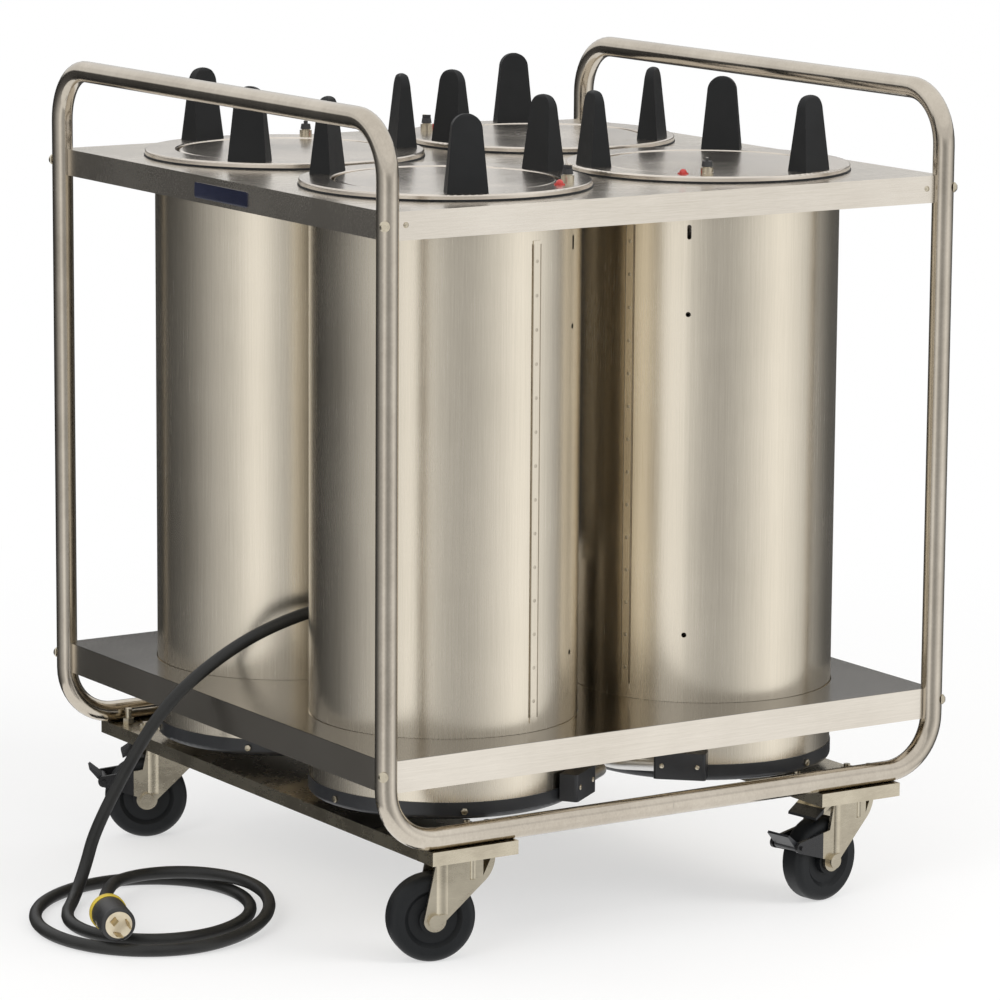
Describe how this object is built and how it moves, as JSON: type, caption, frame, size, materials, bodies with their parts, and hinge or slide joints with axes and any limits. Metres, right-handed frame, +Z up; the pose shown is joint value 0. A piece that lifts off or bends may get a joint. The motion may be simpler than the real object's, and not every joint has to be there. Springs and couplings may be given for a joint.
{
  "type": "heated plate dispenser",
  "caption": "Mobile heated plate dispenser: tube-frame cart on swivel casters with round self-levelling heated wells, plate guides, knobs and a power cord.",
  "frame": {"origin": "on the floor under the middle of the cart, the cord and its coil left out", "axes": "+X to the right along the front, +Y to the back, +Z up"},
  "size_m": [1.0266, 0.7904, 0.9757],
  "materials": {
    "polished_tube": "polished",
    "satin_sheet": "satin",
    "brushed_jacket": "brushed round",
    "polished_flange": "polished",
    "zinc_plate": "zinc plated",
    "black_paint": "semi-gloss",
    "dark_steel": "heat darkened",
    "red_lens": "gloss",
    "aluminium_tube": "satin",
    "guide_plastic": "matte",
    "black_plastic": "matte",
    "ivory_plastic": "satin",
    "brass": "plain",
    "cord_rubber": "matte",
    "wheel_rubber": "matte"
  },
  "bodies": {
    "cart": {"frame_tube_left": "polished_tube", "frame_tube_right": "polished_tube", "top_deck": "satin_sheet", "lower_deck": "satin_sheet", "caster_channel_left": "satin_sheet", "caster_channel_right": "satin_sheet", "frame_bolts": "zinc_plate", "caster_bolts": "zinc_plate", "caster_plates": "zinc_plate", "base_pans": "black_paint", "heating_elements": "dark_steel", "thermostats": "zinc_plate", "pilot_lamps": "red_lens", "junction_box": "satin_sheet", "junction_box_cover": "satin_sheet", "conduits": "aluminium_tube", "cord_gland": "black_plastic", "power_cord": "cord_rubber", "cord_coil": "cord_rubber", "plug_body": "black_plastic", "plug_face": "ivory_plastic", "plug_blades": "brass", "jacket_front_left": "brushed_jacket", "inner_tube_front_left": "satin_sheet", "flange_front_left": "polished_flange", "plate_guides_front_left": "guide_plastic", "springs_front_left": "dark_steel", "jacket_front_right": "brushed_jacket", "inner_tube_front_right": "satin_sheet", "flange_front_right": "polished_flange", "plate_guides_front_right": "guide_plastic", "springs_front_right": "dark_steel", "jacket_back_left": "brushed_jacket", "inner_tube_back_left": "satin_sheet", "flange_back_left": "polished_flange", "plate_guides_back_left": "guide_plastic", "springs_back_left": "dark_steel", "jacket_back_right": "brushed_jacket", "inner_tube_back_right": "satin_sheet", "flange_back_right": "polished_flange", "plate_guides_back_right": "guide_plastic", "springs_back_right": "dark_steel"},
    "carrier_front_left": {"carrier_front_left": "satin_sheet"},
    "knob_front_left": {"knob_front_left": "black_plastic"},
    "carrier_front_right": {"carrier_front_right": "satin_sheet"},
    "knob_front_right": {"knob_front_right": "black_plastic"},
    "carrier_back_left": {"carrier_back_left": "satin_sheet"},
    "knob_back_left": {"knob_back_left": "black_plastic"},
    "carrier_back_right": {"carrier_back_right": "satin_sheet"},
    "knob_back_right": {"knob_back_right": "black_plastic"},
    "caster_front_left": {"caster_fork_front_left": "zinc_plate"},
    "wheel_front_left": {"caster_wheel_front_left": "wheel_rubber"},
    "caster_front_right": {"caster_fork_front_right": "zinc_plate"},
    "wheel_front_right": {"caster_wheel_front_right": "wheel_rubber"},
    "brake_front_right": {"brake_pedal_front_right": "black_paint"},
    "caster_back_left": {"caster_fork_back_left": "zinc_plate"},
    "wheel_back_left": {"caster_wheel_back_left": "wheel_rubber"},
    "brake_back_left": {"brake_pedal_back_left": "black_paint"},
    "caster_back_right": {"caster_fork_back_right": "zinc_plate"},
    "wheel_back_right": {"caster_wheel_back_right": "wheel_rubber"}
  },
  "joints": [
    {"name": "carrier_front_left_lift", "type": "slide", "parent": "cart", "child": "carrier_front_left", "axis": [0, 0, 1], "range_m": [-0.45, 0], "stiffness_N_per_m": 785, "springref_m": 0.05, "deforming": ["springs_front_left"]},
    {"name": "knob_front_left_turn", "type": "hinge", "parent": "cart", "child": "knob_front_left", "pos_m": [-0.08513, -0.28795, 0.888], "axis": [0, 0, 1], "range_deg": [0, 270]},
    {"name": "carrier_front_right_lift", "type": "slide", "parent": "cart", "child": "carrier_front_right", "axis": [0, 0, 1], "range_m": [-0.45, 0], "stiffness_N_per_m": 785, "springref_m": 0.05, "deforming": ["springs_front_right"]},
    {"name": "knob_front_right_turn", "type": "hinge", "parent": "cart", "child": "knob_front_right", "pos_m": [0.09967, -0.29983, 0.888], "axis": [0, 0, 1], "range_deg": [0, 270]},
    {"name": "carrier_back_left_lift", "type": "slide", "parent": "cart", "child": "carrier_back_left", "axis": [0, 0, 1], "range_m": [-0.45, 0], "stiffness_N_per_m": 785, "springref_m": 0.05, "deforming": ["springs_back_left"]},
    {"name": "knob_back_left_turn", "type": "hinge", "parent": "cart", "child": "knob_back_left", "pos_m": [-0.0898, 0.29212, 0.888], "axis": [0, 0, 1], "range_deg": [0, 270]},
    {"name": "carrier_back_right_lift", "type": "slide", "parent": "cart", "child": "carrier_back_right", "axis": [0, 0, 1], "range_m": [-0.45, 0], "stiffness_N_per_m": 785, "springref_m": 0.05, "deforming": ["springs_back_right"]},
    {"name": "knob_back_right_turn", "type": "hinge", "parent": "cart", "child": "knob_back_right", "pos_m": [0.07977, 0.28268, 0.888], "axis": [0, 0, 1], "range_deg": [0, 270]},
    {"name": "caster_front_left_swivel", "type": "hinge", "parent": "cart", "child": "caster_front_left", "pos_m": [-0.27, -0.337, 0.126], "axis": [0, 0, 1], "continuous": true},
    {"name": "wheel_front_left_roll", "type": "hinge", "parent": "caster_front_left", "child": "wheel_front_left", "pos_m": [-0.29104, -0.33057, 0.0508], "axis": [-0.2924, -0.9563, 0], "continuous": true},
    {"name": "caster_front_right_swivel", "type": "hinge", "parent": "cart", "child": "caster_front_right", "pos_m": [0.27, -0.337, 0.126], "axis": [0, 0, 1], "continuous": true},
    {"name": "wheel_front_right_roll", "type": "hinge", "parent": "caster_front_right", "child": "wheel_front_right", "pos_m": [0.24833, -0.34082, 0.0508], "axis": [0.1736, -0.9848, 0], "continuous": true},
    {"name": "brake_front_right_press", "type": "hinge", "parent": "caster_front_right", "child": "brake_front_right", "pos_m": [0.19543, -0.35015, 0.07472], "axis": [0.1736, -0.9848, 0], "range_deg": [0, 30]},
    {"name": "caster_back_left_swivel", "type": "hinge", "parent": "cart", "child": "caster_back_left", "pos_m": [-0.27, 0.337, 0.126], "axis": [0, 0, 1], "continuous": true},
    {"name": "wheel_back_left_roll", "type": "hinge", "parent": "caster_back_left", "child": "wheel_back_left", "pos_m": [-0.28994, 0.3463, 0.0508], "axis": [-0.4226, -0.9063, 0], "continuous": true},
    {"name": "brake_back_left_press", "type": "hinge", "parent": "caster_back_left", "child": "brake_back_left", "pos_m": [-0.33862, 0.369, 0.07472], "axis": [-0.4226, -0.9063, 0], "range_deg": [0, 30]},
    {"name": "caster_back_right_swivel", "type": "hinge", "parent": "cart", "child": "caster_back_right", "pos_m": [0.27, 0.337, 0.126], "axis": [0, 0, 1], "continuous": true},
    {"name": "wheel_back_right_roll", "type": "hinge", "parent": "caster_back_right", "child": "wheel_back_right", "pos_m": [0.24933, 0.34452, 0.0508], "axis": [-0.342, -0.9397, 0], "continuous": true}
  ]
}
